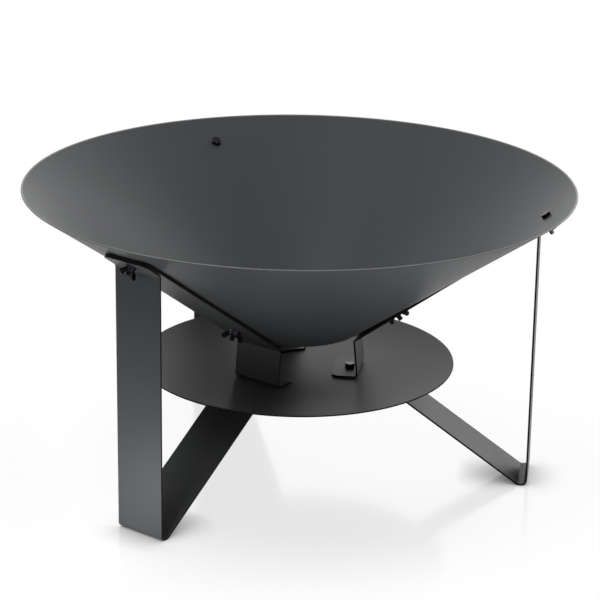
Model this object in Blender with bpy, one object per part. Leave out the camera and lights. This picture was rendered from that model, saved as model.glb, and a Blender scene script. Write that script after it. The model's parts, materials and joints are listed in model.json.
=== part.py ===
"""Fire pit: a shallow conical bowl on three folded strip legs, with a round lower plate below the bowl.

Every piece is its own object at its real size, in metres, with +Z up and the floor at z = 0. The vertical
axis of the bowl is the Z axis. Three identical stations stand round it, 120 degrees apart, and each holds
a leg, a bracket, three bolts and three wing nuts. A station is drawn in its own upright plane, where x is
the distance from the bowl's axis and y is the height.
"""

import math

import bmesh
import bpy
from mathutils import Matrix, Vector

# Bowl
RIM_DIAMETER = 0.600
BASE_DIAMETER = 0.137
BOWL_DEPTH = 0.163  # from the underside of the base up to the rim's lower edge
BASE_ABOVE_PLATE = 0.046  # from the plate's flat middle up to the underside of the base
BOWL_SHEET = 0.0015
BASE_BEND = 0.010  # radius between base and wall, at the middle of the sheet

# Lower plate
PLATE_DIAMETER = 0.347
PLATE_FLAT_DIAMETER = 0.176
PLATE_HEIGHT = 0.1135  # of the top of the flat middle above the floor
PLATE_DISH = 0.009  # rise of the rim above the flat middle
PLATE_SHEET = 0.0015

# Strips that the legs and brackets are folded from
STRIP_WIDTH = 0.060
STRIP_SHEET = 0.002
STRIP_CORNER = 0.008  # radius of the rounded corners at each end
LEG_BEND = 0.0045  # inside radius
BRACKET_BEND = 0.0025  # inside radius

# Leg and bracket
STATIONS = {"rear": 90.0, "left": 210.0, "right": 330.0}  # degrees round the Z axis
FOOT_FLAT = 0.002  # flat stretch that stands on the floor
KNEE_FROM_BOLT = 0.037  # from the plate bolt out to the fold between strut and lower flange
RISER_LEAN = 5.7  # degrees that the riser leans, its foot farther out than its top
TAB_BEYOND_BOLT = 0.017  # from the plate bolt in to the strip's end

# Bolt places, those in the bowl's wall measured along its outer face
RIM_BOLT_FROM_RIM = 0.0385
WALL_BOLT_FROM_BASE = 0.0462
PLATE_BOLT_CIRCLE = 0.118
STRIP_BEYOND_BOLT = 0.0135  # from the rim bolt out to the strips' ends

# Bolts and wing nuts
THREAD_DIAMETER = 0.006
BOLT_LENGTH = 0.016  # under the head
HEAD_FLATS = 0.010
HEAD_HEIGHT = 0.004
HEAD_SIDES = 6
HEAD_TURN = 12.0  # degrees that the heads are turned from square
CROWN_SHARE = 0.95  # flat top of the head as a share of its size across the flats
CROWN_SLOPE = 30.0  # degrees that the head's chamfer slopes
TIP_CHAMFER = 0.0006
NUT_BASE_DIAMETER = 0.012
NUT_TOP_DIAMETER = 0.0096
NUT_HEIGHT = 0.0058
WING_TIP_SPACING = 0.0194  # between the centres of the two rounded tips
WING_TIP_DIAMETER = 0.0056
WING_TIP_HEIGHT = 0.0085  # of the tip's centre above the seat
WING_THICKNESS = 0.0026
WING_ROOT_DIAMETER = 0.008  # where the tops of the wings meet the boss
WING_UNDERSIDE = 0.0015  # of the wings' roots above the seat
TIP_ARC = (-50.0, 155.0)  # degrees that the round of a tip starts and ends at

# How far each wing nut is turned at rest, in degrees from lying along the strip
NUT_TURNS = {
    "rear_rim": 24.0,
    "left_rim": 0.0,
    "right_rim": 108.0,
    "rear_wall": -38.0,
    "left_wall": 74.0,
    "right_wall": 0.0,
    "rear_plate": 15.0,
    "left_plate": -52.0,
    "right_plate": 66.0,
}

# Clearances
SEAT_GAP = 0.0003  # between faces that touch
WING_CLEARANCE = 0.0038  # between a turning wing nut and the upright
HEAD_CLEARANCE = 0.0027  # between a head's corners and the bracket's lower bend
HOLE_CLEARANCE = 0.0003  # round a bolt, on the radius
THREAD_CLEARANCE = 0.0001  # between a wing nut and its bolt, on the radius

# Fineness of the round shapes
MERGE_WITHIN = 1e-5
BOWL_SEGMENTS = 120
PLATE_SEGMENTS = 96
BOLT_SEGMENTS = 24
BEND_STEPS = 8
SHEET_STEPS = 5
SMOOTH_BELOW = 32.0  # degrees: folds and edges sharper than this are shaded as edges

# Finishes: colour, roughness and metallic value
POWDER_COAT = ((0.075, 0.079, 0.083, 1.0), 0.46, 0.0)
BLACK_ZINC = ((0.012, 0.012, 0.013, 1.0), 0.38, 1.0)

# Sizes that follow from those above
BASE_HEIGHT = PLATE_HEIGHT + BASE_ABOVE_PLATE
RIM_RADIUS = RIM_DIAMETER / 2
BASE_RADIUS = BASE_DIAMETER / 2
PLATE_BOLT_RADIUS = PLATE_BOLT_CIRCLE / 2
THREAD_RADIUS = THREAD_DIAMETER / 2
HOLE_RADIUS = THREAD_RADIUS + HOLE_CLEARANCE
HEAD_CORNER_RADIUS = HEAD_FLATS / 2 / math.cos(math.pi / HEAD_SIDES)
RISER_RADIUS = PLATE_BOLT_RADIUS + HEAD_CORNER_RADIUS + HEAD_CLEARANCE + BRACKET_BEND + STRIP_SHEET
STRIP_MIDDLE = STRIP_SHEET / 2

WALL_TOP = Vector((RIM_RADIUS, BASE_HEIGHT + BOWL_DEPTH))
WALL_BOTTOM = Vector((BASE_RADIUS, BASE_HEIGHT))
DOWN_WALL = (WALL_BOTTOM - WALL_TOP).normalized()
OUT_OF_WALL = Vector((-DOWN_WALL.y, DOWN_WALL.x))
RIM_BOLT_PLACE = WALL_TOP + DOWN_WALL * RIM_BOLT_FROM_RIM
WALL_BOLT_PLACE = WALL_BOTTOM - DOWN_WALL * WALL_BOLT_FROM_BASE
STRIP_END = RIM_BOLT_PLACE - DOWN_WALL * STRIP_BEYOND_BOLT

BRACKET_DEPTH = SEAT_GAP + STRIP_MIDDLE  # of the strip's middle below the wall's outer face
LEG_DEPTH = BRACKET_DEPTH + STRIP_SHEET + SEAT_GAP

TAB_MIDDLE = PLATE_HEIGHT + SEAT_GAP + STRIP_MIDDLE
FLANGE_MIDDLE = PLATE_HEIGHT - PLATE_SHEET - SEAT_GAP - STRIP_MIDDLE


def crossing(start, direction, other_start, other_direction):
    """Point where two lines in a plane meet."""
    between = other_start - start
    share = between.cross(other_direction) / direction.cross(other_direction)
    return start + share * direction


def rounded(corners, radius, steps=BEND_STEPS):
    """A path through the corners, with each inner corner replaced by an arc of this radius."""
    path = [corners[0]]
    for before, corner, after in zip(corners, corners[1:], corners[2:]):
        inward = (corner - before).normalized()
        onward = (after - corner).normalized()
        turn = inward.angle_signed(onward)
        start = corner - inward * radius * math.tan(abs(turn) / 2)
        side = math.copysign(1.0, turn)
        centre = start + side * radius * Vector((inward.y, -inward.x))
        for step in range(steps + 1):
            spoke = start - centre
            spoke.rotate(Matrix.Rotation(-turn * step / steps, 2))
            path.append(centre + spoke)
    path.append(corners[-1])
    return path


def across(path):
    """For each point of the path, the step that takes it one unit to the left of the path."""
    directions = [(b - a).normalized() for a, b in zip(path, path[1:])]
    steps = []
    for before, after in zip(directions[:1] + directions, directions + directions[-1:]):
        middle = (before + after).normalized()
        steps.append(Vector((-middle.y, middle.x)) / middle.dot(after))
    return steps


def blank(shape):
    """Turns a bmesh into a working object, from which a named piece later takes its mesh."""
    bmesh.ops.recalc_face_normals(shape, faces=shape.faces)
    mesh = bpy.data.meshes.new("blank")
    shape.to_mesh(mesh)
    shape.free()
    made = bpy.data.objects.new("blank", mesh)
    bpy.context.scene.collection.objects.link(made)
    return made


def finished_mesh(made):
    """Takes the mesh from a working object, shaded smooth up to its edges, and removes the object."""
    mesh = made.data
    shape = bmesh.new()
    shape.from_mesh(mesh)
    bmesh.ops.remove_doubles(shape, verts=shape.verts, dist=MERGE_WITHIN)
    shape.to_mesh(mesh)
    shape.free()
    mesh.shade_smooth()
    mesh.set_sharp_from_angle(angle=math.radians(SMOOTH_BELOW))
    bpy.data.objects.remove(made)
    return mesh


def place(name, mesh, finish, matrix):
    """Adds a named piece of this mesh to the scene, with a material of its own."""
    piece = bpy.data.objects.new(name, mesh)
    bpy.context.scene.collection.objects.link(piece)
    piece.matrix_world = matrix
    if not mesh.materials:
        mesh.materials.append(None)
    piece.material_slots[0].link = "OBJECT"
    piece.material_slots[0].material = material(name, *finish)


def material(name, colour, roughness, metallic):
    """A finish of the part's own material."""
    made = bpy.data.materials.new(name)
    made.use_nodes = True
    shader = made.node_tree.nodes["Principled BSDF"]
    shader.inputs["Base Color"].default_value = colour
    shader.inputs["Roughness"].default_value = roughness
    shader.inputs["Metallic"].default_value = metallic
    return made


def combine(target, tool, operation):
    """Cuts the tool from the target, or joins it on, for good, and removes the tool."""
    modifier = target.modifiers.new("combine", "BOOLEAN")
    modifier.operation = operation
    modifier.object = tool
    graph = bpy.context.evaluated_depsgraph_get()
    mesh = bpy.data.meshes.new_from_object(target.evaluated_get(graph))
    target.modifiers.clear()
    target.data = mesh
    bpy.data.objects.remove(tool)


def lathe(profile, segments):
    """Solid of revolution of a profile that starts and ends on the axis, with +X in mid face."""
    shape = bmesh.new()
    half_step = Matrix.Rotation(math.pi / segments, 3, "Z")
    corners = [shape.verts.new(half_step @ Vector((point.x, 0, point.y))) for point in profile]
    edges = [shape.edges.new(pair) for pair in zip(corners, corners[1:])]
    bmesh.ops.spin(
        shape, geom=corners + edges, axis=(0, 0, 1), cent=(0, 0, 0), angle=2 * math.pi, steps=segments
    )
    bmesh.ops.remove_doubles(shape, verts=shape.verts, dist=MERGE_WITHIN)
    return shape


def sheet_profile(path, thickness):
    """Closed outline of a sheet whose middle follows the path out from the axis."""
    steps = across(path)
    left = [point + step * thickness / 2 for point, step in zip(path, steps)]
    right = [point - step * thickness / 2 for point, step in zip(path, steps)]
    return right + left[::-1]


def rod(radius, bottom, top, segments=BOLT_SEGMENTS):
    """Plain cylinder on the Z axis."""
    outline = ((0, bottom), (radius, bottom), (radius, top), (0, top))
    return lathe([Vector(corner) for corner in outline], segments)


def station_matrix(angle, point, outward):
    """Puts local +Z along outward and local +X along the strip towards the axis, at a point of the plane."""
    z_axis = Vector((outward.x, 0, outward.y))
    x_axis = Vector((outward.y, 0, -outward.x))
    y_axis = z_axis.cross(x_axis)
    turned = Matrix((x_axis, y_axis, z_axis)).transposed().to_4x4()
    return Matrix.Rotation(math.radians(angle), 4, "Z") @ Matrix.Translation((point.x, 0, point.y)) @ turned


def hole_drill(places):
    """One cutter with a rod of hole size at each place."""
    shape = bmesh.new()
    for matrix in places:
        single = rod(HOLE_RADIUS, -BOLT_LENGTH, BOLT_LENGTH)
        single.transform(matrix)
        mesh = bpy.data.meshes.new("drill")
        single.to_mesh(mesh)
        single.free()
        shape.from_mesh(mesh)
        bpy.data.meshes.remove(mesh)
    return blank(shape)


def bolt_seats():
    """For each kind of bolt: where its head sits, its direction, and how far along it the nut sits."""
    strip = STRIP_SHEET + SEAT_GAP
    wall = BOWL_SHEET + 2 * SEAT_GAP
    inwards = OUT_OF_WALL * -(BOWL_SHEET + SEAT_GAP)
    tab_top = Vector((PLATE_BOLT_RADIUS, TAB_MIDDLE + STRIP_MIDDLE + SEAT_GAP))
    return {
        "rim": (RIM_BOLT_PLACE + inwards, OUT_OF_WALL, wall + 2 * strip),
        "wall": (WALL_BOLT_PLACE + inwards, OUT_OF_WALL, wall + strip),
        "plate": (tab_top, Vector((0, -1)), PLATE_SHEET + 2 * SEAT_GAP + 2 * strip),
    }


def upright_radius():
    """Radius of the upright's outer face, which a turning wing nut on the rim bolt clears."""
    seat, outward, grip = bolt_seats()["rim"]
    tip = seat + outward * (grip + WING_TIP_HEIGHT) + DOWN_WALL * WING_TIP_SPACING / 2
    return tip.x - WING_TIP_DIAMETER / 2 - WING_CLEARANCE


def drilled(made, kinds, angles):
    """Mesh of a working object with the holes for these kinds of bolt, at each of these angles."""
    seats = bolt_seats()
    places = [station_matrix(angle, *seats[kind][:2]) for kind in kinds for angle in angles]
    combine(made, hole_drill(places), "DIFFERENCE")
    return finished_mesh(made)


def bowl_mesh():
    """Flat base, a bend, and the straight wall up to the rim."""
    level = Vector((0, BASE_HEIGHT + BOWL_SHEET / 2))
    rim = WALL_TOP - OUT_OF_WALL * BOWL_SHEET / 2
    corner = crossing(level, Vector((1, 0)), rim, DOWN_WALL)
    middle = rounded([level, corner, rim], BASE_BEND, SHEET_STEPS)
    bowl = blank(lathe(sheet_profile(middle, BOWL_SHEET), BOWL_SEGMENTS))
    return drilled(bowl, ("rim", "wall"), STATIONS.values())


def plate_mesh():
    """Flat middle, then a slow curve up to the rim."""
    flat = PLATE_FLAT_DIAMETER / 2
    run = PLATE_DIAMETER / 2 - flat
    curve = (run**2 + PLATE_DISH**2) / (2 * PLATE_DISH)
    sweep = math.asin(run / curve)
    level = PLATE_HEIGHT - PLATE_SHEET / 2
    middle = [Vector((0, level))]
    for step in range(SHEET_STEPS + 1):
        angle = sweep * step / SHEET_STEPS
        middle.append(Vector((flat + curve * math.sin(angle), level + curve * (1 - math.cos(angle)))))
    plate = blank(lathe(sheet_profile(middle, PLATE_SHEET), PLATE_SEGMENTS))
    return drilled(plate, ("plate",), STATIONS.values())


def end_sections(end, inward, step):
    """Sections of a strip's rounded end, from the end inwards: place, way across and half width."""
    sections = []
    for quarter in range(BEND_STEPS + 1):
        turn = math.pi / 2 * quarter / BEND_STEPS
        place_along = end + inward * STRIP_CORNER * (1 - math.cos(turn))
        sections.append((place_along, step, STRIP_WIDTH / 2 - STRIP_CORNER * (1 - math.sin(turn))))
    return sections


def folded_strip(path, kinds):
    """Mesh of a strip folded along the path, with rounded corners at both ends and its bolt holes."""
    steps = across(path)
    sections = end_sections(path[0], (path[1] - path[0]).normalized(), steps[0])
    sections += [(point, step, STRIP_WIDTH / 2) for point, step in zip(path[1:-1], steps[1:-1])]
    sections += end_sections(path[-1], (path[-2] - path[-1]).normalized(), steps[-1])[::-1]
    shape = bmesh.new()
    rings = []
    for point, step, half_width in sections:
        upper = point + step * STRIP_MIDDLE
        lower = point - step * STRIP_MIDDLE
        ring = [(upper, half_width), (upper, -half_width), (lower, -half_width), (lower, half_width)]
        rings.append([shape.verts.new((face.x, side, face.y)) for face, side in ring])
    for near, far in zip(rings, rings[1:]):
        for corner in range(4):
            following = (corner + 1) % 4
            shape.faces.new((near[corner], near[following], far[following], far[corner]))
    shape.faces.new(rings[0])
    shape.faces.new(rings[-1])
    return drilled(blank(shape), kinds, (0.0,))


def bracket_mesh():
    """Tab on the plate, leaning riser, and the long strip up the underside of the wall."""
    lean = math.radians(RISER_LEAN)
    up_riser = Vector((-math.sin(lean), math.cos(lean)))
    riser_face = Vector((RISER_RADIUS, PLATE_HEIGHT + SEAT_GAP))
    riser_foot = riser_face - STRIP_MIDDLE * Vector((math.cos(lean), math.sin(lean)))
    strip_end = STRIP_END + OUT_OF_WALL * BRACKET_DEPTH
    tab_end = Vector((PLATE_BOLT_RADIUS - TAB_BEYOND_BOLT, TAB_MIDDLE))
    corners = [
        tab_end,
        crossing(tab_end, Vector((1, 0)), riser_foot, up_riser),
        crossing(riser_foot, up_riser, strip_end, DOWN_WALL),
        strip_end,
    ]
    return folded_strip(rounded(corners, BRACKET_BEND + STRIP_MIDDLE), ("plate", "wall", "rim"))


def leg_mesh():
    """Flange under the plate, strut out to the foot, upright, and flange under the rim."""
    bend = LEG_BEND + STRIP_MIDDLE
    upright = upright_radius() - STRIP_MIDDLE
    knee = Vector((PLATE_BOLT_RADIUS + KNEE_FROM_BOLT, FLANGE_MIDDLE))
    flange_end = STRIP_END + OUT_OF_WALL * LEG_DEPTH
    strut_rise = math.atan2(FLANGE_MIDDLE - STRIP_MIDDLE, upright - bend - knee.x)
    foot_length = bend * (1 + math.tan(strut_rise / 2)) + FOOT_FLAT
    corners = [
        Vector((PLATE_BOLT_RADIUS - TAB_BEYOND_BOLT, FLANGE_MIDDLE)),
        knee,
        Vector((upright - foot_length, STRIP_MIDDLE)),
        Vector((upright, STRIP_MIDDLE)),
        crossing(Vector((upright, 0)), Vector((0, 1)), flange_end, DOWN_WALL),
        flange_end,
    ]
    return folded_strip(rounded(corners, bend), ("plate", "rim"))


def bolt_mesh():
    """Hex bolt on the Z axis: the head above z = 0, its top chamfered, and the thread below it."""
    crown_radius = HEAD_FLATS / 2 * CROWN_SHARE
    beyond = 2 * HEAD_CORNER_RADIUS
    chamfer_drop = (beyond - crown_radius) * math.tan(math.radians(CROWN_SLOPE))
    crown = [
        Vector((0, -HEAD_HEIGHT)),
        Vector((beyond, -HEAD_HEIGHT)),
        Vector((beyond, HEAD_HEIGHT - chamfer_drop)),
        Vector((crown_radius, HEAD_HEIGHT)),
        Vector((0, HEAD_HEIGHT)),
    ]
    thread = [
        Vector((0, -BOLT_LENGTH)),
        Vector((THREAD_RADIUS - TIP_CHAMFER, -BOLT_LENGTH)),
        Vector((THREAD_RADIUS, TIP_CHAMFER - BOLT_LENGTH)),
        Vector((THREAD_RADIUS, HEAD_HEIGHT / 2)),
        Vector((0, HEAD_HEIGHT / 2)),
    ]
    bolt = blank(rod(HEAD_CORNER_RADIUS, 0, HEAD_HEIGHT, HEAD_SIDES))
    combine(bolt, blank(lathe(crown, BOLT_SEGMENTS)), "INTERSECT")
    combine(bolt, blank(lathe(thread, BOLT_SEGMENTS)), "UNION")
    return finished_mesh(bolt)


def wing_outline():
    """One wing seen from the side: out from inside the boss, round the tip and back."""
    tip = Vector((WING_TIP_SPACING / 2, WING_TIP_HEIGHT))
    inside = THREAD_RADIUS / 2
    points = [Vector((inside, WING_UNDERSIDE)), Vector((NUT_BASE_DIAMETER / 2, WING_UNDERSIDE))]
    for step in range(BEND_STEPS + 1):
        angle = math.radians(TIP_ARC[0] + (TIP_ARC[1] - TIP_ARC[0]) * step / BEND_STEPS)
        points.append(tip + WING_TIP_DIAMETER / 2 * Vector((math.cos(angle), math.sin(angle))))
    points.append(Vector((WING_ROOT_DIAMETER / 2, NUT_HEIGHT)))
    points.append(Vector((inside, (NUT_HEIGHT + WING_UNDERSIDE) / 2)))
    return points


def wing_nut_mesh():
    """Wing nut on the Z axis: its seat at z = 0, its boss and wings above it."""
    bore_radius = THREAD_RADIUS + THREAD_CLEARANCE
    boss = [
        Vector((0, 0)),
        Vector((NUT_BASE_DIAMETER / 2, 0)),
        Vector((NUT_TOP_DIAMETER / 2, NUT_HEIGHT)),
        Vector((0, NUT_HEIGHT)),
    ]
    nut = blank(lathe(boss, BOLT_SEGMENTS))
    for side in (1, -1):
        shape = bmesh.new()
        corners = [shape.verts.new((side * p.x, -WING_THICKNESS / 2, p.y)) for p in wing_outline()]
        pushed = bmesh.ops.extrude_face_region(shape, geom=[shape.faces.new(corners)])
        moved = [item for item in pushed["geom"] if isinstance(item, bmesh.types.BMVert)]
        bmesh.ops.translate(shape, vec=(0, WING_THICKNESS, 0), verts=moved)
        combine(nut, blank(shape), "UNION")
    combine(nut, blank(rod(bore_radius, -NUT_HEIGHT, 2 * WING_TIP_HEIGHT)), "DIFFERENCE")
    return finished_mesh(nut)


def place_stations():
    """Legs, brackets, bolts and wing nuts, once for each station."""
    leg = leg_mesh()
    bracket = bracket_mesh()
    bolt = bolt_mesh()
    nut = wing_nut_mesh()
    for side, angle in STATIONS.items():
        round_axis = Matrix.Rotation(math.radians(angle), 4, "Z")
        place(f"{side}_leg", leg, POWDER_COAT, round_axis)
        place(f"{side}_bracket", bracket, POWDER_COAT, round_axis)
        for kind, (seat, outward, grip) in bolt_seats().items():
            upturned = station_matrix(angle, seat, outward) @ Matrix.Rotation(math.pi, 4, "X")
            head_turn = Matrix.Rotation(math.radians(HEAD_TURN), 4, "Z")
            place(f"{side}_{kind}_bolt", bolt, BLACK_ZINC, upturned @ head_turn)
            nut_turn = Matrix.Rotation(math.radians(NUT_TURNS[f"{side}_{kind}"]), 4, "Z")
            nut_seat = station_matrix(angle, seat + outward * grip, outward)
            place(f"{side}_{kind}_wing_nut", nut, BLACK_ZINC, nut_seat @ nut_turn)


def main():
    for leftover in list(bpy.data.objects):
        bpy.data.objects.remove(leftover)
    place("fire_bowl", bowl_mesh(), POWDER_COAT, Matrix())
    place("lower_plate", plate_mesh(), POWDER_COAT, Matrix())
    place_stations()


main()
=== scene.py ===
"""Looks of the fire pit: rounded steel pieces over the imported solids, their finishes, and a plain studio.

Sizes are in metres unless a name ends in _mm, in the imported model's frame: +Z up and the floor at z = 0.
Three stations stand round the bowl, each with a leg, a bracket and three bolts with wing nuts. A station is
drawn in its own upright plane, where x is the distance from the bowl's axis and y is the height.
"""

import json
import logging
import math
from collections.abc import Iterable, Sequence
from dataclasses import dataclass
from enum import Enum
from typing import Any

import bmesh
import bpy
from mathutils import Matrix, Vector


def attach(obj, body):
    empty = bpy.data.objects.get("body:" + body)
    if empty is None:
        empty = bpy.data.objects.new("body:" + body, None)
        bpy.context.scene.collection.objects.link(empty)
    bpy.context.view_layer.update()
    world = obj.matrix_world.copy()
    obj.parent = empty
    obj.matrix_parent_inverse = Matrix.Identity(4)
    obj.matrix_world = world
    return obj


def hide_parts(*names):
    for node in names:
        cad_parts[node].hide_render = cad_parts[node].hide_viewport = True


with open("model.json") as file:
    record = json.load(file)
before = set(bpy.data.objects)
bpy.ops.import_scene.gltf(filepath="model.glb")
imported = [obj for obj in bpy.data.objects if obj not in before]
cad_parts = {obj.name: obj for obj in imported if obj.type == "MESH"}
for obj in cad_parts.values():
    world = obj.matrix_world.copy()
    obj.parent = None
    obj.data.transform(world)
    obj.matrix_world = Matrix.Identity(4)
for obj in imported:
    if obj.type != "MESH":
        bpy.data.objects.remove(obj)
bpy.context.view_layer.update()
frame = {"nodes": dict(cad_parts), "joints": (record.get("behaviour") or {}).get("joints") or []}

LOG = logging.getLogger("fire_pit")
FIXED_BODY = "fire_pit"
MM = 0.001
CORNER_WIDTH = 4 * MM  # two far points closer than this belong to one corner
CORNER_DEPTH = 0.1 * MM
CUT_EDGE = "painted_edge_shade"  # mesh attribute that is 1 on the faces that a cut left, and 0 elsewhere
MERGE_WITHIN = 1e-6
SEEING_RAYS = ("Is Camera Ray", "Is Glossy Ray", "Is Transmission Ray")
WHITE = (1.0, 1.0, 1.0, 1.0)
FIRST_COLOUR, SECOND_COLOUR, MIXED_COLOUR = 6, 7, 2  # sockets of a Mix node that mixes colours
THREAD_FORM = ((0.125, 1.0), (0.4375, 0.0), (0.5625, 0.0), (0.875, 1.0))  # shares of pitch and depth


class Side(Enum):
    """The three stations round the bowl."""

    REAR = "rear"
    LEFT = "left"
    RIGHT = "right"


class Hold(Enum):
    """What a bolt of a station holds."""

    RIM = "rim"
    WALL = "wall"
    PLATE = "plate"


class Join(Enum):
    """Ways to combine two closed meshes."""

    UNION = "UNION"
    CUT = "DIFFERENCE"
    KEEP_COMMON = "INTERSECT"


def linear(code: str) -> tuple[float, float, float, float]:
    """Turns an sRGB colour into the linear one that Blender's shaders take.

    Args:
        code: The colour as six hexadecimal digits, such as "3a3c3e".

    Returns:
        Linear red, green and blue, and an alpha of 1.
    """
    parts = [int(code[start : start + 2], 16) / 255 for start in (0, 2, 4)]
    curved = [((part + 0.055) / 1.055) ** 2.4 if part > 0.04045 else part / 12.92 for part in parts]
    return (curved[0], curved[1], curved[2], 1.0)


def add_node(
    tree: bpy.types.NodeTree,
    kind: str,
    values: dict[str | int, Any] | None = None,
    links: dict[str | int, bpy.types.NodeSocket] | None = None,
    **settings: Any,
) -> bpy.types.Node:
    """Adds a shader node with its settings, socket values and incoming links.

    Args:
        tree: The node tree that the node goes into.
        kind: Blender's name for the node's type.
        values: Values of unlinked input sockets, by name or number.
        links: Output sockets to link to inputs, by the input's name or number.
        **settings: Attributes of the node itself.

    Returns:
        The new node.
    """
    node = tree.nodes.new(kind)
    for name, value in settings.items():
        setattr(node, name, value)
    for key, value in (values or {}).items():
        node.inputs[key].default_value = value
    for key, source in (links or {}).items():
        tree.links.new(source, node.inputs[key])
    return node


def per_metre(size_mm: float) -> float:
    """Scale of a texture whose pattern repeats about every size_mm millimetres."""
    return 1 / (size_mm * MM)


@dataclass(frozen=True)
class Finish:
    """A material, and the slot of the record that it belongs to."""

    material: bpy.types.Material
    slot: str


@dataclass(frozen=True)
class PowderCoatedSteel:
    """Mild steel sheet, cut and folded, then sprayed with polyester powder and baked.

    The baked film is satin and nearly neutral grey. It flows into a faint orange peel, and its fine grit
    breaks up the reflections, so the eye sees broad soft highlights and slow changes of tone, with no sharp
    mirror image. The faces that a cut left are painted near black with little shine, so they draw a thin
    black line round each strip: a painted shade. A pale band on top of the bowl's rim is a painted highlight.
    """

    name: str = "powder-coated steel"
    slot: str = "powder_coated_steel"
    film: str = "4d4f51"
    thin_film: str = "47494b"
    # painted shade: the faces that a cut left are near black, for the shade on edges that face away from the
    # lamps
    painted_edge_shade: str = "161718"
    # painted highlight: a pale grey band along the top of the bowl's rim, where its cut edge catches the
    # light
    painted_rim_highlight: str = "a4a6a8"
    painted_rim_highlight_from: float = 0.3226  # height where the painted highlight, a pale band on top of the bowl's rim, begins
    painted_rim_highlight_full: float = 0.3231
    ior: float = 1.3  # the grit scatters most of the mirror light, so it is below polyester's 1.5
    film_shine: float = 0.5
    cut_shine: float = 0.15
    roughness: float = 0.47
    roughness_swing: float = 0.05
    peel_mm: float = 3.2
    peel_depth_mm: float = 0.012
    grit_mm: float = 0.9  # real grit is about 0.1 mm, which is too fine to show
    grit_depth_mm: float = 0.006
    cloud_mm: float = 90.0

    def build(self) -> Finish:
        """Makes the finish.

        Returns:
            The material and its slot.
        """
        made = bpy.data.materials.new(self.name)
        made.use_nodes = True
        tree = made.node_tree
        shader = tree.nodes["Principled BSDF"]
        shader.inputs["IOR"].default_value = self.ior
        place = add_node(tree, "ShaderNodeTexCoord").outputs["Object"]
        cloud = add_node(
            tree,
            "ShaderNodeTexNoise",
            {"Scale": per_metre(self.cloud_mm), "Detail": 3.0},
            {"Vector": place},
        )
        tone = add_node(
            tree,
            "ShaderNodeMix",
            {FIRST_COLOUR: linear(self.thin_film), SECOND_COLOUR: linear(self.film)},
            {0: cloud.outputs["Fac"]},
            data_type="RGBA",
        )
        height = add_node(tree, "ShaderNodeSeparateXYZ", None, {0: place}).outputs["Z"]
        # A pale band at the top of the bowl's rim is a painted highlight.
        rim_highlight_band = add_node(
            tree,
            "ShaderNodeMapRange",
            {"From Min": self.painted_rim_highlight_from, "From Max": self.painted_rim_highlight_full},
            {"Value": height},
        )
        # The faces that a cut left get a near black colour and little shine: a painted shade.
        cut = add_node(tree, "ShaderNodeAttribute", attribute_name=CUT_EDGE).outputs["Fac"]
        edged = add_node(
            tree,
            "ShaderNodeMix",
            {SECOND_COLOUR: linear(self.painted_edge_shade)},
            {0: cut, FIRST_COLOUR: tone.outputs[MIXED_COLOUR]},
            data_type="RGBA",
        )
        colour = add_node(
            tree,
            "ShaderNodeMix",
            {SECOND_COLOUR: linear(self.painted_rim_highlight)},
            {0: rim_highlight_band.outputs["Result"], FIRST_COLOUR: edged.outputs[MIXED_COLOUR]},
            data_type="RGBA",
        )
        mirror = add_node(
            tree, "ShaderNodeMapRange", {"To Min": self.film_shine, "To Max": self.cut_shine}, {"Value": cut}
        )
        peel = add_node(
            tree, "ShaderNodeTexNoise", {"Scale": per_metre(self.peel_mm), "Detail": 1.0}, {"Vector": place}
        )
        grit = add_node(
            tree, "ShaderNodeTexNoise", {"Scale": per_metre(self.grit_mm), "Detail": 4.0}, {"Vector": place}
        )
        shine = add_node(
            tree,
            "ShaderNodeMapRange",
            {
                "To Min": self.roughness - self.roughness_swing,
                "To Max": self.roughness + self.roughness_swing,
            },
            {"Value": grit.outputs["Fac"]},
        )
        waves = add_node(
            tree,
            "ShaderNodeBump",
            {"Strength": 1.0, "Distance": self.peel_depth_mm * MM},
            {"Height": peel.outputs["Fac"]},
        )
        skin = add_node(
            tree,
            "ShaderNodeBump",
            {"Strength": 1.0, "Distance": self.grit_depth_mm * MM},
            {"Height": grit.outputs["Fac"], "Normal": waves.outputs["Normal"]},
        )
        tree.links.new(colour.outputs[MIXED_COLOUR], shader.inputs["Base Color"])
        tree.links.new(mirror.outputs["Result"], shader.inputs["Specular IOR Level"])
        tree.links.new(shine.outputs["Result"], shader.inputs["Roughness"])
        tree.links.new(skin.outputs["Normal"], shader.inputs["Normal"])
        return Finish(made, self.slot)


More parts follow.
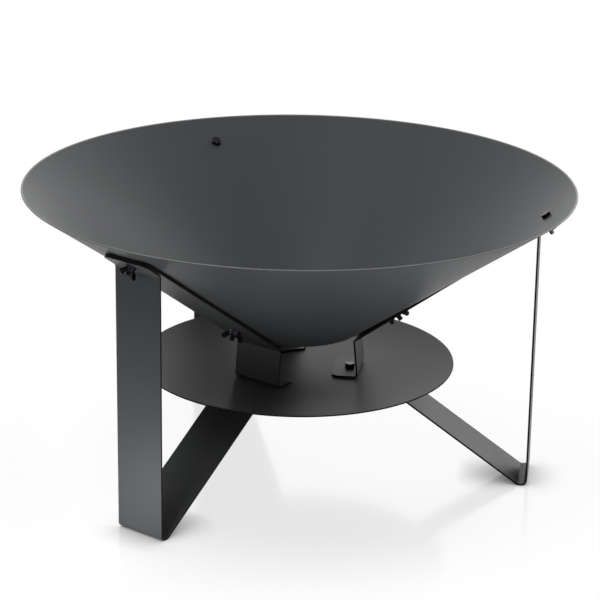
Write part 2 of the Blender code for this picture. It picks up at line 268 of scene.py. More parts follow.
@dataclass(frozen=True)
class BlackZincPlatedSteel:
    """Cold-headed and cast fasteners, zinc plated and passivated black.

    The plating is a dark metal with a smoky, slightly uneven sheen. Where it faces a lamp it shines grey, and
    everywhere else it looks black.
    """

    name: str = "black zinc-plated steel"
    slot: str = "black_zinc_plated_steel"
    plating: str = "2c2c2f"
    smoked: str = "17171a"
    roughness: float = 0.32
    roughness_swing: float = 0.08
    smoke_mm: float = 4.0
    tumble_mm: float = 0.6  # dents from barrel plating
    tumble_depth_mm: float = 0.01

    def build(self) -> Finish:
        """Makes the finish.

        Returns:
            The material and its slot.
        """
        made = bpy.data.materials.new(self.name)
        made.use_nodes = True
        tree = made.node_tree
        shader = tree.nodes["Principled BSDF"]
        shader.inputs["Metallic"].default_value = 1.0
        place = add_node(tree, "ShaderNodeTexCoord").outputs["Object"]
        smoke = add_node(
            tree,
            "ShaderNodeTexNoise",
            {"Scale": per_metre(self.smoke_mm), "Detail": 3.0},
            {"Vector": place},
        )
        tone = add_node(
            tree,
            "ShaderNodeMix",
            {FIRST_COLOUR: linear(self.smoked), SECOND_COLOUR: linear(self.plating)},
            {0: smoke.outputs["Fac"]},
            data_type="RGBA",
        )
        shine = add_node(
            tree,
            "ShaderNodeMapRange",
            {
                "To Min": self.roughness - self.roughness_swing,
                "To Max": self.roughness + self.roughness_swing,
            },
            {"Value": smoke.outputs["Fac"]},
        )
        dents = add_node(
            tree,
            "ShaderNodeTexNoise",
            {"Scale": per_metre(self.tumble_mm), "Detail": 2.0},
            {"Vector": place},
        )
        skin = add_node(
            tree,
            "ShaderNodeBump",
            {"Strength": 1.0, "Distance": self.tumble_depth_mm * MM},
            {"Height": dents.outputs["Fac"]},
        )
        tree.links.new(tone.outputs[MIXED_COLOUR], shader.inputs["Base Color"])
        tree.links.new(shine.outputs["Result"], shader.inputs["Roughness"])
        tree.links.new(skin.outputs["Normal"], shader.inputs["Normal"])
        return Finish(made, self.slot)


@dataclass(frozen=True)
class StudioPaper:
    """Matt white background paper, which keeps a faint shadow, a painted contact shadow and a fainter
    reflection near the object.
    """

    name: str = "studio paper"
    paper: str = "f2f2f2"
    shadow_share: float = 0.24
    gloss_share: float = 0.35
    gloss_roughness: float = 0.15
    fade_start: float = 0.20
    fade_end: float = 0.40
    painted_contact_reach: float = 0.04

    def build(self) -> bpy.types.Material:
        """Makes the material.

        Returns:
            The material.
        """
        made = bpy.data.materials.new(self.name)
        made.use_nodes = True
        tree = made.node_tree
        tree.nodes.clear()
        place = add_node(tree, "ShaderNodeTexCoord").outputs["Object"]
        reach = add_node(tree, "ShaderNodeVectorMath", None, {0: place}, operation="LENGTH")
        share = add_node(
            tree,
            "ShaderNodeMapRange",
            {
                "From Min": self.fade_start,
                "From Max": self.fade_end,
                "To Min": self.shadow_share,
                "To Max": 0.0,
            },
            {"Value": reach.outputs["Value"]},
            interpolation_type="SMOOTHSTEP",
        )
        matt = add_node(tree, "ShaderNodeBsdfDiffuse", {"Color": linear(self.paper)})
        gloss = add_node(
            tree,
            "ShaderNodeBsdfGlossy",
            {"Color": WHITE, "Roughness": self.gloss_roughness},
        )
        near = add_node(
            tree, "ShaderNodeMixShader", {0: self.gloss_share}, {1: matt.outputs[0], 2: gloss.outputs[0]}
        )
        # Ambient occlusion dims the white that the camera sees where the paper meets the legs and feet: a
        # painted contact shadow.
        painted_contact_shadow = add_node(tree, "ShaderNodeAmbientOcclusion", {"Distance": self.painted_contact_reach})
        white = add_node(
            tree, "ShaderNodeEmission", {"Color": WHITE}, {"Strength": painted_contact_shadow.outputs["AO"]}
        )
        seen = add_node(
            tree,
            "ShaderNodeMixShader",
            None,
            {0: share.outputs["Result"], 1: white.outputs[0], 2: near.outputs[0]},
        )
        shown = add_node(
            tree,
            "ShaderNodeMixShader",
            None,
            {0: any_ray(tree, SEEING_RAYS), 1: matt.outputs[0], 2: seen.outputs[0]},
        )
        add_node(tree, "ShaderNodeOutputMaterial", None, {"Surface": shown.outputs[0]})
        return made


def any_ray(tree: bpy.types.NodeTree, kinds: Sequence[str]) -> bpy.types.NodeSocket:
    """Adds a value that is 1 for these kinds of ray and 0 for the others.

    Args:
        tree: The node tree of a material or of the world.
        kinds: Names of the Light Path node's outputs.

    Returns:
        The socket that holds the value.
    """
    path = add_node(tree, "ShaderNodeLightPath")
    total = path.outputs[kinds[0]]
    for kind in kinds[1:]:
        both = add_node(tree, "ShaderNodeMath", None, {0: total, 1: path.outputs[kind]}, operation="MAXIMUM")
        total = both.outputs[0]
    return total


def crossing(start: Vector, direction: Vector, other_start: Vector, other_direction: Vector) -> Vector:
    """Finds where two lines in a plane meet.

    Args:
        start: A point of the first line.
        direction: The first line's direction.
        other_start: A point of the second line.
        other_direction: The second line's direction.

    Returns:
        The common point.
    """
    between = other_start - start
    share = between.cross(other_direction) / direction.cross(other_direction)
    return start + share * direction


def rounded(corners: Sequence[Vector], radius: float, steps: int) -> list[Vector]:
    """Rounds the inner corners of a path in a plane.

    Args:
        corners: The path's corners.
        radius: The radius of each arc.
        steps: The number of straight steps in each arc.

    Returns:
        The points of the rounded path.
    """
    path = [corners[0]]
    for before, corner, after in zip(corners, corners[1:], corners[2:]):
        inward = (corner - before).normalized()
        onward = (after - corner).normalized()
        turn = inward.angle_signed(onward)
        start = corner - inward * radius * math.tan(abs(turn) / 2)
        centre = start + math.copysign(radius, turn) * Vector((inward.y, -inward.x))
        for step in range(steps + 1):
            spoke = start - centre
            spoke.rotate(Matrix.Rotation(-turn * step / steps, 2))
            path.append(centre + spoke)
    path.append(corners[-1])
    return path


def across(path: Sequence[Vector]) -> list[Vector]:
    """Works out, for each point of a path, the step that takes it one unit to the left.

    Args:
        path: The points of a path in a plane.

    Returns:
        One step for each point. At a corner it is longer, so that a moved path keeps its distance.
    """
    directions = [(b - a).normalized() for a, b in zip(path, path[1:])]
    steps = []
    for before, after in zip(directions[:1] + directions, directions + directions[-1:]):
        middle = (before + after).normalized()
        steps.append(Vector((-middle.y, middle.x)) / middle.dot(after))
    return steps


def divided(path: Sequence[Vector], longest: float) -> list[Vector]:
    """Divides the long straight stretches of a path.

    Args:
        path: The points of a path in a plane.
        longest: The greatest distance between two points.

    Returns:
        The path's points, with the new ones between them.
    """
    points = [path[0]]
    for start, end in zip(path, path[1:]):
        count = max(1, math.ceil((end - start).length / longest))
        points += [start.lerp(end, step / count) for step in range(1, count + 1)]
    return points


def object_of(shape: bmesh.types.BMesh, name: str) -> bpy.types.Object:
    """Turns a bmesh into an object of the scene, with its faces outwards.

    Args:
        shape: The bmesh, which is freed.
        name: The object's name.

    Returns:
        The new object.
    """
    bmesh.ops.recalc_face_normals(shape, faces=shape.faces)
    mesh = bpy.data.meshes.new(name)
    shape.to_mesh(mesh)
    shape.free()
    made = bpy.data.objects.new(name, mesh)
    bpy.context.scene.collection.objects.link(made)
    return made


def combine(target: bpy.types.Object, tool: bpy.types.Object, join: Join) -> None:
    """Combines two meshes for good, and removes the tool.

    Args:
        target: The object that is kept.
        tool: The object that is joined on, cut out or shared with.
        join: How the two are combined.
    """
    modifier = target.modifiers.new("combine", "BOOLEAN")
    modifier.operation = join.value
    modifier.object = tool
    graph = bpy.context.evaluated_depsgraph_get()
    mesh = bpy.data.meshes.new_from_object(target.evaluated_get(graph))
    target.modifiers.clear()
    target.data = mesh
    bpy.data.objects.remove(tool)


def lathe(profile: Sequence[Vector], segments: int) -> bmesh.types.BMesh:
    """Turns a profile round the Z axis.

    Args:
        profile: Distances from the axis and heights. It starts and ends on the axis.
        segments: The number of faces round the axis.

    Returns:
        The closed solid.
    """
    shape = bmesh.new()
    half_step = Matrix.Rotation(math.pi / segments, 3, "Z")
    corners = [shape.verts.new(half_step @ Vector((point.x, 0, point.y))) for point in profile]
    edges = [shape.edges.new(pair) for pair in zip(corners, corners[1:])]
    bmesh.ops.spin(
        shape, geom=corners + edges, axis=(0, 0, 1), cent=(0, 0, 0), angle=2 * math.pi, steps=segments
    )
    bmesh.ops.remove_doubles(shape, verts=shape.verts, dist=MERGE_WITHIN)
    return shape


def rod(radius: float, bottom: float, top: float, segments: int) -> bmesh.types.BMesh:
    """Makes a plain cylinder on the Z axis.

    Args:
        radius: Its radius, out to the corners.
        bottom: The height of its lower end.
        top: The height of its upper end.
        segments: The number of its sides.

    Returns:
        The closed solid.
    """
    outline = ((0, bottom), (radius, bottom), (radius, top), (0, top))
    return lathe([Vector(corner) for corner in outline], segments)


@dataclass(frozen=True)
class EdgeRound:
    """How the sharp edges of a piece are rounded."""

    width: float
    segments: int = 3
    from_degrees: float = 40.0

    def apply_to(self, piece: bpy.types.Object) -> None:
        """Shades the piece smooth, rounds its edges and keeps its flat faces flat.

        Args:
            piece: The object to be rounded.
        """
        mesh = piece.data
        mesh.shade_smooth()
        bevel = piece.modifiers.new("edge_round", "BEVEL")
        bevel.width = self.width
        bevel.segments = self.segments
        bevel.limit_method = "ANGLE"
        bevel.angle_limit = math.radians(self.from_degrees)
        flats = piece.modifiers.new("flat_faces", "WEIGHTED_NORMAL")
        flats.keep_sharp = True


def dress(piece: bpy.types.Object, node: str, body: str, finish: Finish) -> bpy.types.Object:
    """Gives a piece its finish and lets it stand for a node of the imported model.

    Args:
        piece: The finished object, already in its place.
        node: The node that it stands for.
        body: The body that it moves with.
        finish: Its finish.

    Returns:
        The piece.
    """
    piece.data.materials.clear()
    piece.data.materials.append(finish.material)
    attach(piece, body)
    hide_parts(node)
    LOG.info("%s stands for %s, %d faces", piece.name, node, len(piece.data.polygons))
    return piece


@dataclass(frozen=True)
class BoltPlace:
    """Where one bolt stands, and how its head and wing nut are turned."""

    side: Side
    hold: Hold
    seat: Vector
    axis: Vector

    @classmethod
    def find(cls, side: Side, hold: Hold) -> "BoltPlace":
        """Reads the place from the joint of the wing nut.

        Args:
            side: The station.
            hold: What the bolt holds.

        Returns:
            The place. Its seat is the wing nut's, and its axis runs from the head to the nut.
        """
        name = f"{side.value}_{hold.value}_wing_nut_turn"
        joint = next(joint for joint in frame["joints"] if joint["name"] == name)
        return cls(side, hold, Vector(joint["pos_m"]), Vector(joint["axis"]).normalized())

    @property
    def bolt_node(self) -> str:
        """Name of the bolt's node."""
        return f"{self.side.value}_{self.hold.value}_bolt"

    @property
    def nut_node(self) -> str:
        """Name of the wing nut's node, which is also its body's."""
        return f"{self.side.value}_{self.hold.value}_wing_nut"

    def reach(self, node: str) -> float:
        """Measures how far along the axis a node reaches beyond the wing nut's seat.

        Args:
            node: The node, which stands on the axis.

        Returns:
            The distance.
        """
        return max((vertex.co - self.seat).dot(self.axis) for vertex in frame["nodes"][node].data.vertices)

    def corner_way(self, node: str) -> Vector:
        """Finds which way the farthest corner of a node points, seen along the axis.

        Args:
            node: The node, which stands on the axis.

        Returns:
            A unit vector at right angles to the axis.
        """
        spokes = []
        for vertex in frame["nodes"][node].data.vertices:
            offset = vertex.co - self.seat
            spokes.append(offset - self.axis * offset.dot(self.axis))
        farthest = max(spokes, key=lambda spoke: spoke.length)
        same = [
            spoke
            for spoke in spokes
            if (spoke - farthest).length < CORNER_WIDTH and spoke.length > farthest.length - CORNER_DEPTH
        ]
        return sum(same, Vector()).normalized()

    def matrix(self, node: str, above_seat: float, flipped: bool) -> Matrix:
        """Places a fastener that was drawn on the Z axis.

        Args:
            node: The node whose turn it takes.
            above_seat: Distance of its z = 0 plane from the wing nut's seat, along the axis.
            flipped: True if its +Z points back along the axis, as a head's does.

        Returns:
            The matrix that puts it in place.
        """
        z_axis = -self.axis if flipped else self.axis
        x_axis = self.corner_way(node)
        y_axis = z_axis.cross(x_axis)
        turned = Matrix((x_axis, y_axis, z_axis)).transposed().to_4x4()
        return Matrix.Translation(self.seat + self.axis * above_seat) @ turned


@dataclass(frozen=True)
class Wall:
    """The straight line that the bowl's outer face makes in a station's plane."""

    rim_radius: float = 0.300
    rim_height: float = 0.3225
    base_radius: float = 0.0685
    base_height: float = 0.1595

    @property
    def top(self) -> Vector:
        """The rim's lower edge."""
        return Vector((self.rim_radius, self.rim_height))

    @property
    def down(self) -> Vector:
        """Direction from the rim down the wall."""
        return (Vector((self.base_radius, self.base_height)) - self.top).normalized()

    @property
    def outward(self) -> Vector:
        """Direction out of the bowl, square to the wall."""
        return Vector((-self.down.y, self.down.x))


@dataclass(frozen=True)
class FireBowl:
    """The conical bowl: one disc of sheet, pressed to a cone with a flat base."""

    wall: Wall
    sheet: float = 0.0015
    base_bend: float = 0.010
    rim_inset: float = 0.0001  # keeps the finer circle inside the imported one
    segments: int = 192
    bend_steps: int = 10
    ring_spacing: float = 0.012
    edge_round: EdgeRound = EdgeRound(0.0004, 2, 50.0)
    node: str = "fire_bowl"

    def build(self, finish: Finish, holes: bpy.types.Object) -> bpy.types.Object:
        """Makes the bowl.

        Args:
            finish: Its finish.
            holes: The cutter with a rod for each bolt.

        Returns:
            The bowl.
        """
        level = Vector((0, self.wall.base_height + self.sheet / 2))
        rim = self.wall.top + self.wall.down * self.rim_inset - self.wall.outward * self.sheet / 2
        corner = crossing(level, Vector((1, 0)), rim, self.wall.down)
        middle = rounded([level, corner, rim], self.base_bend, self.bend_steps)
        solid = turned_sheet(middle, self.sheet, self.ring_spacing, self.segments)
        bowl = object_of(solid, "fire_bowl_shown")
        combine(bowl, holes, Join.CUT)
        self.edge_round.apply_to(bowl)
        return dress(bowl, self.node, FIXED_BODY, finish)


def mark_cut(shape: bmesh.types.BMesh, numbers: Iterable[int]) -> None:
    """Marks the faces that a cut left, for the coat's material.

    Args:
        shape: The bmesh that they belong to.
        numbers: Those faces, counted in the order in which they were made.
    """
    layer = shape.faces.layers.float.new(CUT_EDGE)
    shape.faces.ensure_lookup_table()
    for number in numbers:
        shape.faces[number][layer] = 1.0


def turned_sheet(
    middle: Sequence[Vector], sheet: float, ring_spacing: float, segments: int
) -> bmesh.types.BMesh:
    """Turns a line into a round piece of sheet.

    Args:
        middle: The line that the middle of the sheet follows, from the axis out to the rim.
        sheet: The sheet's thickness.
        ring_spacing: The greatest distance between two rings of points.
        segments: The number of faces round the axis.

    Returns:
        The closed solid.
    """
    path = divided(middle, ring_spacing)
    steps = across(path)
    left = [point + step * sheet / 2 for point, step in zip(path, steps)]
    right = [point - step * sheet / 2 for point, step in zip(path, steps)]
    return lathe(right + left[::-1], segments)


@dataclass(frozen=True)
class LowerPlate:
    """The round plate under the bowl: flat in the middle, and curving up very slightly to its rim."""

    height: float = 0.1135
    radius: float = 0.1735
    flat_radius: float = 0.088
    dish: float = 0.009
    sheet: float = 0.0015
    segments: int = 160
    curve_steps: int = 8
    ring_spacing: float = 0.016
    edge_round: EdgeRound = EdgeRound(0.0004, 2, 50.0)
    node: str = "lower_plate"

    def build(self, finish: Finish, holes: bpy.types.Object) -> bpy.types.Object:
        """Makes the plate.

        Args:
            finish: Its finish.
            holes: The cutter with a rod for each bolt.

        Returns:
            The plate.
        """
        run = self.radius - self.flat_radius
        curve = (run**2 + self.dish**2) / (2 * self.dish)
        sweep = math.asin(run / curve)
        level = self.height - self.sheet / 2
        middle = [Vector((0, level))]
        for step in range(self.curve_steps + 1):
            angle = sweep * step / self.curve_steps
            rise = curve * (1 - math.cos(angle))
            middle.append(Vector((self.flat_radius + curve * math.sin(angle), level + rise)))
        solid = turned_sheet(middle, self.sheet, self.ring_spacing, self.segments)
        edge_start = self.radius - self.sheet / 2
        reach = [face.calc_center_median().xy.length for face in solid.faces]
        mark_cut(solid, [number for number, radius in enumerate(reach) if radius > edge_start])
        plate = object_of(solid, "lower_plate_shown")
        combine(plate, holes, Join.CUT)
        self.edge_round.apply_to(plate)
        return dress(plate, self.node, FIXED_BODY, finish)


@dataclass(frozen=True)
class Strip:
    """Flat bar with rounded ends, folded into a leg or a bracket."""

    width: float = 0.060
    sheet: float = 0.002
    end_corner: float = 0.008
    corner_steps: int = 10
    bend_steps: int = 12
    longest_run: float = 0.020
    edge_round: EdgeRound = EdgeRound(0.00045, 3, 50.0)

    def end_sections(self, end: Vector, inward: Vector, step: Vector) -> list[tuple[Vector, Vector, float]]:
        """Works out the sections of a rounded end, from the end inwards.

        Args:
            end: The end of the strip's middle line.
            inward: The direction from there into the strip.
            step: The direction across the sheet.

        Returns:
            For each section, its place, the direction across the sheet, and half its width.
        """
        sections = []
        for count in range(self.corner_steps + 1):
            turn = math.pi / 2 * count / self.corner_steps
            along = inward * self.end_corner * (1 - math.cos(turn))
            sections.append((end + along, step, self.width / 2 - self.end_corner * (1 - math.sin(turn))))
        return sections

    def build(self, corners: Sequence[Vector], bend: float, name: str) -> bpy.types.Object:
        """Folds the strip along a path in a station's plane.

        Args:
            corners: The corners of the strip's middle line.
            bend: The bends' radius at the middle of the sheet.
            name: The object's name.

        Returns:
            The strip, without holes.
        """
        path = rounded(corners, bend, self.bend_steps)
        first, last = path[0], path[-1]
        path[0] = first + (path[1] - first).normalized() * self.end_corner
        path[-1] = last + (path[-2] - last).normalized() * self.end_corner
        path = divided(path, self.longest_run)
        steps = across(path)
        sections = self.end_sections(first, (path[0] - first).normalized(), steps[0])
        sections += [(point, step, self.width / 2) for point, step in zip(path[1:-1], steps[1:-1])]
        sections += self.end_sections(last, (path[-1] - last).normalized(), steps[-1])[::-1]
        shape = bmesh.new()
        rings = []
        for point, step, half_width in sections:
            upper = point + step * self.sheet / 2
            lower = point - step * self.sheet / 2
            ring = [(upper, half_width), (upper, -half_width), (lower, -half_width), (lower, half_width)]
            rings.append([shape.verts.new((face.x, side, face.y)) for face, side in ring])
        shape.faces.new(rings[0])
        shape.faces.new(rings[-1])
        for near, far in zip(rings, rings[1:]):
            for corner in range(4):
                following = (corner + 1) % 4
                shape.faces.new((near[corner], near[following], far[following], far[corner]))
        mark_cut(shape, [0, *range(1, len(shape.faces), 2)])
        return object_of(shape, name)


@dataclass(frozen=True)
class StripPlan:
    """Where the strips of a station run, in the station's plane."""

    wall: Wall
    strip: Strip
    seat_gap: float = 0.0003
    plate_height: float = LowerPlate.height
    plate_sheet: float = LowerPlate.sheet
    plate_bolt_radius: float = 0.059
    strip_end_from_rim: float = 0.025
    tab_beyond_bolt: float = 0.017
    riser_radius: float = 0.071974  # of the riser's outer face at its foot
    riser_lean: float = 5.7  # degrees
    bracket_bend: float = 0.0025
    knee_from_bolt: float = 0.037
    upright_face: float = 0.261704  # of the upright's outer face
    foot_flat: float = 0.002
    leg_bend: float = 0.0045

    @property
    def half(self) -> float:
        """Half the strip's thickness."""
        return self.strip.sheet / 2

    def bracket_corners(self) -> list[Vector]:
        """Corners of a bracket's middle line: tab, riser, and long strip up the wall.

        Returns:
            The corners, from the tab's end to the strip's upper end.
        """
        lean = math.radians(self.riser_lean)
        up_riser = Vector((-math.sin(lean), math.cos(lean)))
        level = self.plate_height + self.seat_gap
        foot = Vector((self.riser_radius, level)) - self.half * Vector((math.cos(lean), math.sin(lean)))
        depth = self.wall.outward * (self.seat_gap + self.half)
        upper_end = self.wall.top + self.wall.down * self.strip_end_from_rim + depth
        tab_end = Vector((self.plate_bolt_radius - self.tab_beyond_bolt, level + self.half))
        return [
            tab_end,
            crossing(tab_end, Vector((1, 0)), foot, up_riser),
            crossing(foot, up_riser, upper_end, self.wall.down),
            upper_end,
        ]

    def leg_corners(self) -> list[Vector]:
        """Corners of a leg's middle line: lower flange, strut, foot, upright and upper flange.

        Returns:
            The corners, from the lower flange's end to the upper flange's.
        """
        bend = self.leg_bend + self.half
        upright = self.upright_face - self.half
        level = self.plate_height - self.plate_sheet - self.seat_gap - self.half
        knee = Vector((self.plate_bolt_radius + self.knee_from_bolt, level))
        depth = self.wall.outward * (2 * self.seat_gap + 3 * self.half)
        upper_end = self.wall.top + self.wall.down * self.strip_end_from_rim + depth
        strut_rise = math.atan2(level - self.half, upright - bend - knee.x)
        foot_length = bend * (1 + math.tan(strut_rise / 2)) + self.foot_flat
        return [
            Vector((self.plate_bolt_radius - self.tab_beyond_bolt, level)),
            knee,
            Vector((upright - foot_length, self.half)),
            Vector((upright, self.half)),
            crossing(Vector((upright, 0)), Vector((0, 1)), upper_end, self.wall.down),
            upper_end,
        ]


@dataclass(frozen=True)
class HexBolt:
    """M6 hex bolt: a cold-headed hexagon with a turned crown, and a rolled thread."""

    across_flats: float = 0.010
    head_height: float = 0.004
    crown_share: float = 0.95
    crown_slope: float = 30.0
    collar_height: float = 0.0004
    thread_radius: float = 0.003
    pitch: float = 0.001
    thread_depth: float = 0.0006
    length: float = 0.016
    segments: int = 48
    thread_segments: int = 32
    edge_round: EdgeRound = EdgeRound(0.00015, 2, 25.0)

    @property
    def corner_radius(self) -> float:
        """Distance from the axis to a corner of the hexagon."""
        return self.across_flats / 2 / math.cos(math.pi / 6)

    def head(self) -> bpy.types.Object:
        """Makes the head above z = 0, with a corner along +X.

        Returns:
            The head, with a thin round collar where it sits.
        """
        flats = self.across_flats / 2
        crown = flats * self.crown_share
        beyond = self.corner_radius + self.collar_height
        drop = (beyond - crown) * math.tan(math.radians(self.crown_slope))
        outline = (
            (0, 0),
            (flats, 0),
            (flats, self.collar_height),
            (beyond, self.collar_height),
            (beyond, self.head_height - drop),
            (crown, self.head_height),
            (0, self.head_height),
        )
        hexagon = rod(self.corner_radius, -self.head_height, 2 * self.head_height, 6)
        hexagon.transform(Matrix.Rotation(-math.pi / 6, 4, "Z"))
        head = object_of(hexagon, "head")
        turned = lathe([Vector(corner) for corner in outline], self.segments)
        combine(head, object_of(turned, "crown"), Join.KEEP_COMMON)
        return head

    def thread(self) -> bpy.types.Object:
        """Makes the threaded shank, from inside the head down to its tip.

        Returns:
            The shank. Its rows of points follow the helix, so that the crests are sharp lines.
        """
        top = self.head_height / 2
        turns = math.ceil((self.length + top) / self.pitch) + 2
        rows = [turn + share for turn in range(turns) for share, _ in THREAD_FORM]
        depths = [self.thread_depth * depth for _ in range(turns) for _, depth in THREAD_FORM]
        shape = bmesh.new()
        grid = []
        for phase, depth in zip(rows, depths):
            ring = []
            for column in range(self.thread_segments):
                share = column / self.thread_segments
                height = min(max(self.pitch * (phase + share - 1), 0) - self.length, top)
                root = self.thread_radius - self.thread_depth
                radius = min(self.thread_radius - depth, root + min(height + self.length, top - height))
                angle = 2 * math.pi * share
                ring.append(shape.verts.new((radius * math.cos(angle), radius * math.sin(angle), height)))
            grid.append(ring)
        last = self.thread_segments - 1
        for row, (near, far) in enumerate(zip(grid, grid[1:])):
            for column in range(last):
                shape.faces.new((near[column], near[column + 1], far[column + 1], far[column]))
            beyond = row + len(THREAD_FORM)
            if beyond + 1 < len(grid):
                shape.faces.new((near[last], grid[beyond][0], grid[beyond + 1][0], far[last]))
        bmesh.ops.remove_doubles(shape, verts=shape.verts, dist=2 * MERGE_WITHIN)
        loose = [corner for corner in shape.verts if not corner.link_faces]
        bmesh.ops.delete(shape, geom=loose, context="VERTS")
        bmesh.ops.holes_fill(shape, edges=shape.edges)
        return object_of(shape, "thread")

    def build(self, place: BoltPlace, finish: Finish) -> bpy.types.Object:
        """Makes the bolt in its place.

        Args:
            place: Where it stands.
            finish: Its finish.

        Returns:
            The bolt.
        """
        bolt = self.head()
        bolt.name = f"{place.bolt_node}_shown"
        combine(bolt, self.thread(), Join.UNION)
        self.edge_round.apply_to(bolt)
        above_seat = place.reach(place.bolt_node) - self.length
        bolt.matrix_world = place.matrix(place.bolt_node, above_seat, flipped=True)
        return dress(bolt, place.bolt_node, FIXED_BODY, finish)


@dataclass(frozen=True)
class WingNut:
    """Cast wing nut: a tapered boss with two ears."""

    base_radius: float = 0.006
    top_radius: float = 0.0048
    height: float = 0.0058
    bore_radius: float = 0.00325  # clear of the thread's crests at every turn
    tip_from_axis: float = 0.0097
    tip_height: float = 0.0085
    tip_radius: float = 0.0028
    tip_arc: tuple[float, float] = (-50.0, 155.0)
    thickness: float = 0.0026
    root_radius: float = 0.004
    underside: float = 0.0015
    hollow: float = 0.0026
    steps: int = 20
    segments: int = 48
    edge_round: EdgeRound = EdgeRound(0.0004, 3, 32.0)

    def ear_outline(self) -> list[Vector]:
        """Draws one ear from the side: out from inside the boss, round the tip, and back in a hollow curve.

        Returns:
            The outline's corners, as distances from the axis and heights.
        """
        tip = Vector((self.tip_from_axis, self.tip_height))
        inside = self.bore_radius / 2
        points = [Vector((inside, self.underside)), Vector((self.base_radius, self.underside))]
        for step in range(self.steps + 1):
            angle = math.radians(self.tip_arc[0] + (self.tip_arc[1] - self.tip_arc[0]) * step / self.steps)
            points.append(tip + self.tip_radius * Vector((math.cos(angle), math.sin(angle))))
        start, root = points[-1], Vector((self.root_radius, self.height))
        control = start + self.hollow * Vector((-math.sin(angle), math.cos(angle)))
        for step in range(1, self.steps // 2 + 1):
            share = 2 * step / self.steps
            points.append(start.lerp(control, share).lerp(control.lerp(root, share), share))
        points.append(Vector((inside, (self.height + self.underside) / 2)))
        return points

    def ear(self, direction: int) -> bpy.types.Object:
        """Makes an ear.

        Args:
            direction: 1 for the ear along +X, -1 for the other.

        Returns:
            The closed solid.
        """
        shape = bmesh.new()
        corners = [shape.verts.new((direction * p.x, -self.thickness / 2, p.y)) for p in self.ear_outline()]
        pushed = bmesh.ops.extrude_face_region(shape, geom=[shape.faces.new(corners)])
        moved = [item for item in pushed["geom"] if isinstance(item, bmesh.types.BMVert)]
        bmesh.ops.translate(shape, vec=(0, self.thickness, 0), verts=moved)
        return object_of(shape, "ear")

    def build(self, place: BoltPlace, finish: Finish) -> bpy.types.Object:
        """Makes the wing nut in its place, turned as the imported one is.

        Args:
            place: Where it stands.
            finish: Its finish.

        Returns:
            The wing nut.
        """
        outline = ((0, 0), (self.base_radius, 0), (self.top_radius, self.height), (0, self.height))
        nut = object_of(lathe([Vector(p) for p in outline], self.segments), f"{place.nut_node}_shown")
        for direction in (1, -1):
            combine(nut, self.ear(direction), Join.UNION)
        bore = rod(self.bore_radius, -self.height, 2 * self.height, self.segments)
        combine(nut, object_of(bore, "bore"), Join.CUT)
        self.edge_round.apply_to(nut)
        nut.matrix_world = place.matrix(place.nut_node, 0.0, flipped=False)
        return dress(nut, place.nut_node, place.nut_node, finish)


@dataclass(frozen=True)
class Drill:
    """Drills the bolt holes."""

    radius: float = 0.0033
    back: float = 0.012  # past the head's seat
    forward: float = 0.003
    segments: int = 48

    def rods(self, places: Iterable[BoltPlace]) -> bpy.types.Object:
        """Makes one cutter with a rod for each bolt.

        Args:
            places: The bolts' places.

        Returns:
            The cutter.
        """
        shape = bmesh.new()
        for place in places:
            single = rod(self.radius, -self.back, self.forward, self.segments)
            single.transform(place.matrix(place.bolt_node, 0.0, flipped=False))
            mesh = bpy.data.meshes.new("rod")
            single.to_mesh(mesh)
            single.free()
            shape.from_mesh(mesh)
            bpy.data.meshes.remove(mesh)
        return object_of(shape, "drill")


@dataclass(frozen=True)
class Station:
    """One leg and one bracket with the three bolts and wing nuts that hold them."""

    side: Side
    places: dict[Hold, BoltPlace]

    @classmethod
    def find(cls, side: Side) -> "Station":
        """Finds the station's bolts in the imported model."""
        return cls(side, {hold: BoltPlace.find(side, hold) for hold in Hold})

    @property
    def turn(self) -> Matrix:
        """Rotation from the drawing plane to the station."""
        seat = self.places[Hold.RIM].seat
        return Matrix.Rotation(math.atan2(seat.y, seat.x), 4, "Z")

    def strip(
        self,
        name: str,
        plan: StripPlan,
        drill: Drill,
        corners: Sequence[Vector],
        bend: float,
        holds: Iterable[Hold],
        finish: Finish,
    ) -> bpy.types.Object:
        """Makes the leg or the bracket in its place.

        Args:
            name: "leg" or "bracket".
            plan: Where the strips run.
            drill: The drill for the bolt holes.
            corners: The corners of the strip's middle line.
            bend: The bends' radius at the middle of the sheet.
            holds: The bolts that pass through it.
            finish: Its finish.

        Returns:
            The folded and drilled strip.
        """
        node = f"{self.side.value}_{name}"
        piece = plan.strip.build(corners, bend, f"{node}_shown")
        piece.matrix_world = self.turn
        combine(piece, drill.rods(self.places[hold] for hold in holds), Join.CUT)
        plan.strip.edge_round.apply_to(piece)
        return dress(piece, node, FIXED_BODY, finish)

    def build(self, plan: StripPlan, drill: Drill, coat: Finish, zinc: Finish) -> None:
        """Makes every piece of the station.

        Args:
            plan: Where the strips run.
            drill: The drill for the bolt holes.
            coat: Finish of the strips.
            zinc: Finish of the fasteners.
        """
        bracket_bend = plan.bracket_bend + plan.half
        leg_bend = plan.leg_bend + plan.half
        self.strip("bracket", plan, drill, plan.bracket_corners(), bracket_bend, Hold, coat)
        self.strip("leg", plan, drill, plan.leg_corners(), leg_bend, (Hold.RIM, Hold.PLATE), coat)
        for place in self.places.values():
            HexBolt().build(place, zinc)
            WingNut().build(place, zinc)


@dataclass(frozen=True)
class SoftBox:
    """A square lamp with a diffuser, turned to the middle of the object."""

    name: str
    azimuth: float  # degrees round the object, where 0 is on the -Y side and 90 on the +X side
    elevation: float
    size: float
    power: float
    distance: float = 3.0

    def build(self, aim: Vector) -> bpy.types.Object:
        """Hangs the lamp.

        Args:
            aim: The point that it faces.

        Returns:
            The lamp.
        """
        data = bpy.data.lights.new(self.name, "AREA")
        data.size = self.size
        data.energy = self.power
        lamp = bpy.data.objects.new(self.name, data)
        around, up = math.radians(self.azimuth), math.radians(self.elevation)
        way = Vector((math.sin(around) * math.cos(up), -math.cos(around) * math.cos(up), math.sin(up)))
        lamp.location = aim + way * self.distance
        lamp.rotation_euler = way.to_track_quat("Z", "Y").to_euler()
        lamp.visible_camera = False
        bpy.context.scene.collection.objects.link(lamp)
        return lamp


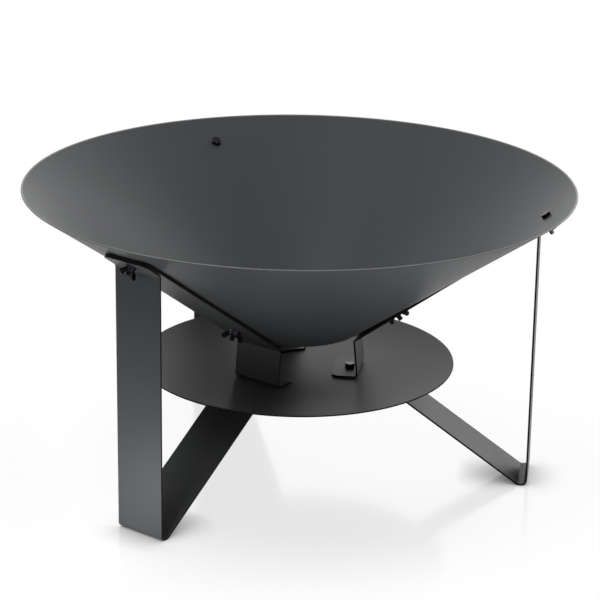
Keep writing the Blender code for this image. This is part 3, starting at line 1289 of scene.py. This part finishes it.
SOFT_BOXES = (
    SoftBox("top_left", -70.0, 68.0, 1.2, 36.0),
    SoftBox("right_rear", 122.0, 30.0, 1.6, 13.0),
    SoftBox("low_right_rear", 112.0, 9.0, 1.0, 9.8, 2.4),
    SoftBox("low_rear", 158.0, 9.0, 1.2, 4.7, 2.4),
    SoftBox("rear", 168.0, 42.0, 1.8, 8.0),
    SoftBox("left", -102.0, 22.0, 1.6, 2.6),
    SoftBox("foot_left", -60.0, -24.0, 0.12, 0.24, 0.4),
    SoftBox("near_right", 35.0, 2.0, 0.45, 1.4, 0.85),
)


@dataclass(frozen=True)
class Studio:
    """Pale paper, white surroundings, soft boxes, and the camera at the photo's viewing angle."""

    floor_size: float = 30.0
    glow: float = 0.02
    aim: tuple[float, float, float] = (0.0, 0.0, 0.18)
    camera_at: tuple[float, float, float] = (-0.8837, -2.19, 1.0052)
    heading: float = -22.03
    pitch: float = -19.042
    roll: float = 0.841
    lens: float = 136.07
    sensor: float = 36.0

    def surround(self) -> None:
        """Makes the world: white where it is seen, and dimmer as a source of light."""
        world = bpy.data.worlds.new("white_studio")
        world.use_nodes = True
        tree = world.node_tree
        tree.nodes.clear()
        seen = any_ray(tree, SEEING_RAYS)
        strength = add_node(tree, "ShaderNodeMapRange", {"To Min": self.glow, "To Max": 1.0}, {"Value": seen})
        white = add_node(
            tree,
            "ShaderNodeBackground",
            {"Color": WHITE},
            {"Strength": strength.outputs["Result"]},
        )
        add_node(tree, "ShaderNodeOutputWorld", None, {"Surface": white.outputs[0]})
        bpy.context.scene.world = world

    def lay_floor(self) -> bpy.types.Object:
        """Lays the paper.

        Returns:
            The floor.
        """
        shape = bmesh.new()
        bmesh.ops.create_grid(shape, x_segments=1, y_segments=1, size=self.floor_size / 2)
        mesh = bpy.data.meshes.new("floor")
        shape.to_mesh(mesh)
        shape.free()
        floor = bpy.data.objects.new("floor", mesh)
        bpy.context.scene.collection.objects.link(floor)
        mesh.materials.append(StudioPaper().build())
        return floor

    def set_camera(self) -> bpy.types.Object:
        """Sets up the camera.

        Returns:
            The camera, which is now the scene's.
        """
        data = bpy.data.cameras.new("camera")
        data.lens = self.lens
        data.sensor_width = self.sensor
        camera = bpy.data.objects.new("camera", data)
        turned = Matrix.Rotation(math.radians(self.heading), 4, "Z")
        turned @= Matrix.Rotation(math.radians(90 + self.pitch), 4, "X")
        turned @= Matrix.Rotation(math.radians(self.roll), 4, "Z")
        camera.matrix_world = Matrix.Translation(self.camera_at) @ turned
        bpy.context.scene.collection.objects.link(camera)
        bpy.context.scene.camera = camera
        return camera

    def build(self) -> None:
        """Makes the whole studio, and keeps it out of the object."""
        self.surround()
        lamps = [soft_box.build(Vector(self.aim)) for soft_box in SOFT_BOXES]
        self.lay_floor()
        self.set_camera()
        view = bpy.context.scene.view_settings
        view.view_transform = "Standard"


def main() -> None:
    """Builds every piece of the fire pit and then the studio."""
    logging.basicConfig(level=logging.INFO, format="%(message)s")
    coat = PowderCoatedSteel().build()
    # The same powder on the lower plate, in a darker and a little warmer copy with a flatter sheen: the
    # darker tone is painted shade from the bowl above
    shaded_plate_coat = PowderCoatedSteel(
        "powder-coated steel plate", film="474546", thin_film="424041", roughness=0.5
    ).build()
    zinc = BlackZincPlatedSteel().build()
    for name, node in frame["nodes"].items():
        finish = zinc if name.endswith(("bolt", "nut")) else coat
        if name == LowerPlate.node:
            finish = shaded_plate_coat
        node.data.materials.clear()
        node.data.materials.append(finish.material)
    wall = Wall()
    drill = Drill()
    plan = StripPlan(wall, Strip())
    stations = [Station.find(side) for side in Side]
    in_wall = [station.places[hold] for station in stations for hold in (Hold.RIM, Hold.WALL)]
    in_plate = [station.places[Hold.PLATE] for station in stations]
    FireBowl(wall).build(coat, drill.rods(in_wall))
    LowerPlate().build(shaded_plate_coat, drill.rods(in_plate))
    for station in stations:
        station.build(plan, drill, coat, zinc)
    Studio().build()


if __name__ == "__main__":
    main()
